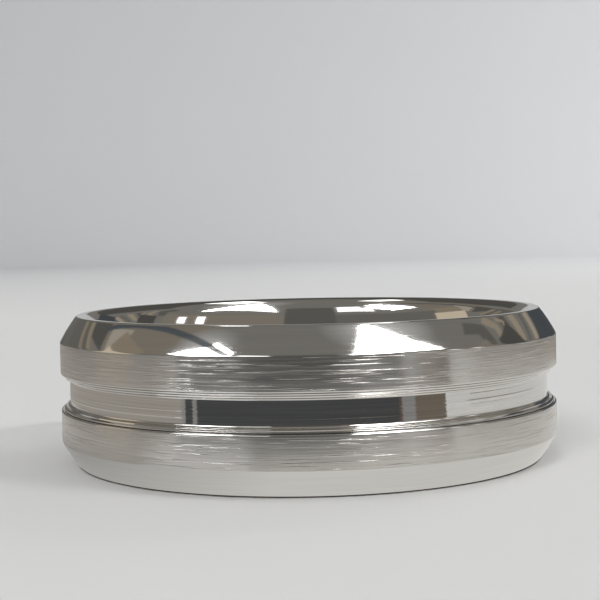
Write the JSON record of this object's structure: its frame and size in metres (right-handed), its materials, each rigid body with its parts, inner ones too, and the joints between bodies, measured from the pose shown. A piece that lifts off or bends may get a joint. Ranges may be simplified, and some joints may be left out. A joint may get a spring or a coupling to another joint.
{
  "type": "wedding band",
  "caption": "Plain metal wedding band with polished bevelled edges, satin faces, a polished groove round its middle and a comfort-fit bore.",
  "frame": {"origin": "centre of the band's lower rim plane, on the axis of the finger bore, so the band lies on its side on z = 0", "axes": "+Z along the axis of the finger bore, upwards; X and Y across the band, all directions alike"},
  "size_m": [0.0234, 0.0234, 0.007],
  "materials": {
    "polished_sleeve": "mirror polish, with faint polishing lines round the bore",
    "satin_rail": "satin outer face brushed round the band, with a mirror-polished bevel",
    "polished_groove": "polished, with fine turned lines round the band"
  },
  "bodies": {
    "root": {"comfort_fit_sleeve": "polished_sleeve", "lower_rail": "satin_rail", "upper_rail": "satin_rail", "centre_band": "polished_groove"}
  },
  "joints": []
}
